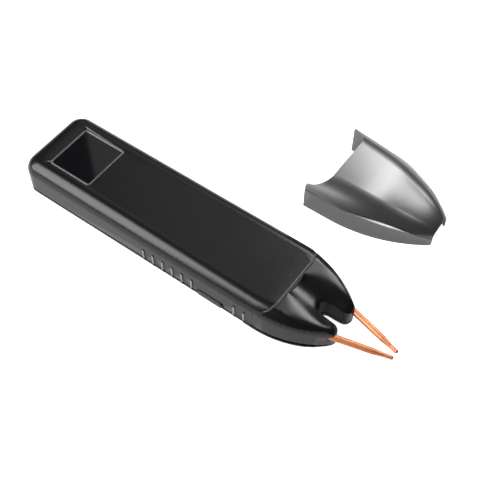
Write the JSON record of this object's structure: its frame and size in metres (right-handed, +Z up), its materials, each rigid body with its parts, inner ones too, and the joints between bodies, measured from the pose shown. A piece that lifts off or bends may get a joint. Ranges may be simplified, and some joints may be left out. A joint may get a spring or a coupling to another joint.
{
  "type": "handheld spot welding pen",
  "caption": "Flat handheld spot welding pen with forked nose, converging copper electrodes, display window, side button and slip-on guard hood.",
  "frame": {"origin": "on the flat underside, on the centre line, below the middle of the handle", "axes": "+X along the pen from its tail to the electrodes, +Z up out of the display face, +Y towards the hood lying beside it"},
  "size_m": [0.1945, 0.116, 0.0195],
  "materials": {
    "gloss_black": "gloss moulded ABS",
    "bezel_black": "gloss, edge lightly polished",
    "dark_glass": "gloss smoked display glass",
    "hood_grey": "satin gunmetal paint",
    "bare_copper": "drawn copper alloy, clean",
    "terminal_brass": "machined",
    "green_board": "satin solder mask",
    "chip_black": "matte epoxy",
    "tinned_steel": "tinned",
    "screw_steel": "zinc plated",
    "cell_foil": "aluminium pouch foil",
    "foam_grey": "closed-cell foam",
    "nickel": "rolled nickel strip",
    "spreader_aluminium": "extruded",
    "ribbon_amber": "polyimide film",
    "socket_white": "moulded nylon"
  },
  "bodies": {
    "pen": {"upper_shell": "gloss_black", "lower_shell": "gloss_black", "case_screws": "screw_steel", "window_bezel": "bezel_black", "display_window": "dark_glass", "display_module": "chip_black", "display_ribbon": "ribbon_amber", "ribbon_socket": "socket_white", "control_board": "green_board", "microcontroller": "chip_black", "board_chips": "chip_black", "buzzer": "chip_black", "charge_port_shell": "tinned_steel", "charge_port_tongue": "chip_black", "board_screws": "screw_steel", "battery_cell": "cell_foil", "foam_pad": "foam_grey", "battery_straps": "nickel", "signal_ribbon": "ribbon_amber", "signal_sockets": "socket_white", "power_board": "green_board", "power_transistors": "chip_black", "heat_spreader": "spreader_aluminium", "button_switch": "chip_black", "left_busbar": "bare_copper", "right_busbar": "bare_copper", "left_terminal": "terminal_brass", "right_terminal": "terminal_brass", "clamp_screws": "screw_steel", "left_electrode": "bare_copper", "right_electrode": "bare_copper"},
    "button": {"side_button": "gloss_black"},
    "hood": {"guard_hood": "hood_grey"}
  },
  "joints": [
    {"name": "button_press", "type": "slide", "parent": "pen", "child": "button", "axis": [0, 1, 0], "range_m": [0, 0.0006], "stiffness_N_per_m": 2500, "springref_m": -0.0002},
    {"name": "hood_carry", "type": "slide", "parent": "pen", "child": "hood", "axis": [0.8673, -0.4978, 0], "range_m": [0, 0.14413]}
  ]
}
